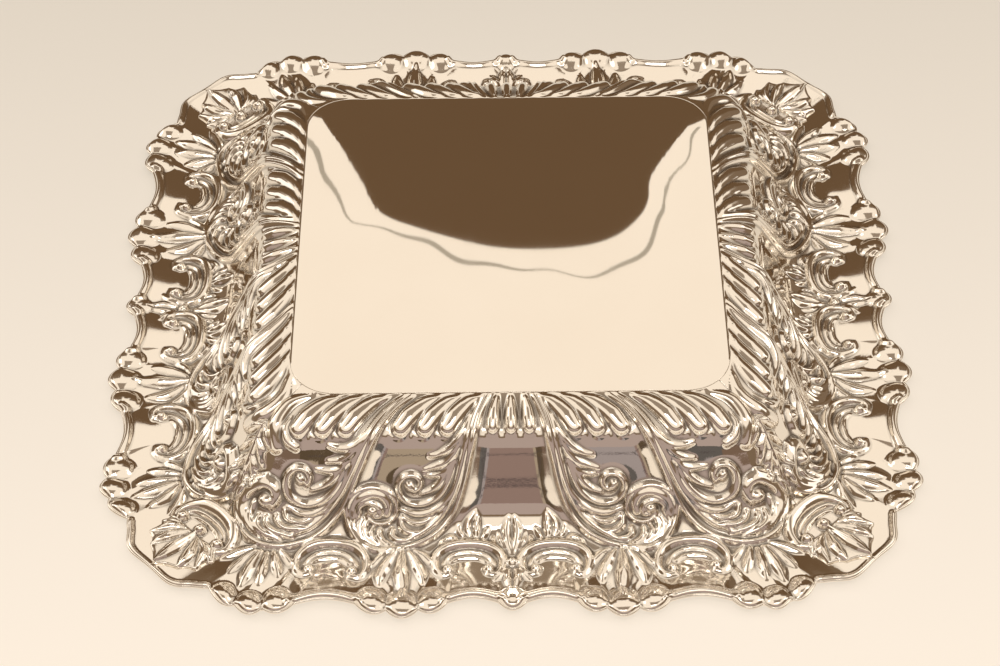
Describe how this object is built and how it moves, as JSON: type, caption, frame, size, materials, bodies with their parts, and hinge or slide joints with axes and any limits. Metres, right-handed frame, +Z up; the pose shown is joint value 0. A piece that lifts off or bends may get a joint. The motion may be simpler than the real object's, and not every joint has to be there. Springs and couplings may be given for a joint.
{
  "type": "square salver",
  "caption": "Square silver salver with a raised plain centre, gadrooned shoulder, scroll-and-leaf stamped border and scalloped wired edge.",
  "frame": {"origin": "on the table under the middle of the salver", "axes": "+Z up through the middle of the raised centre, -Y towards the front side, +X to the right"},
  "size_m": [0.3288, 0.3288, 0.043],
  "materials": {
    "polished_silver": "mirror-polished silver with fine wiping scratches",
    "chased_silver": "polished stamped silver, warm oxide left in the recesses",
    "wire_silver": "polished silver, slightly worn"
  },
  "bodies": {
    "root": {"centre_plate": "polished_silver", "border_front": "chased_silver", "border_right": "chased_silver", "border_back": "chased_silver", "border_left": "chased_silver", "rim_wire_front": "wire_silver", "rim_wire_right": "wire_silver", "rim_wire_back": "wire_silver", "rim_wire_left": "wire_silver", "corner_leaf_front_right": "chased_silver", "corner_leaf_back_right": "chased_silver", "corner_leaf_back_left": "chased_silver", "corner_leaf_front_left": "chased_silver", "corner_cartouche_front_right": "chased_silver", "corner_cartouche_back_right": "chased_silver", "corner_cartouche_back_left": "chased_silver", "corner_cartouche_front_left": "chased_silver"}
  },
  "joints": []
}
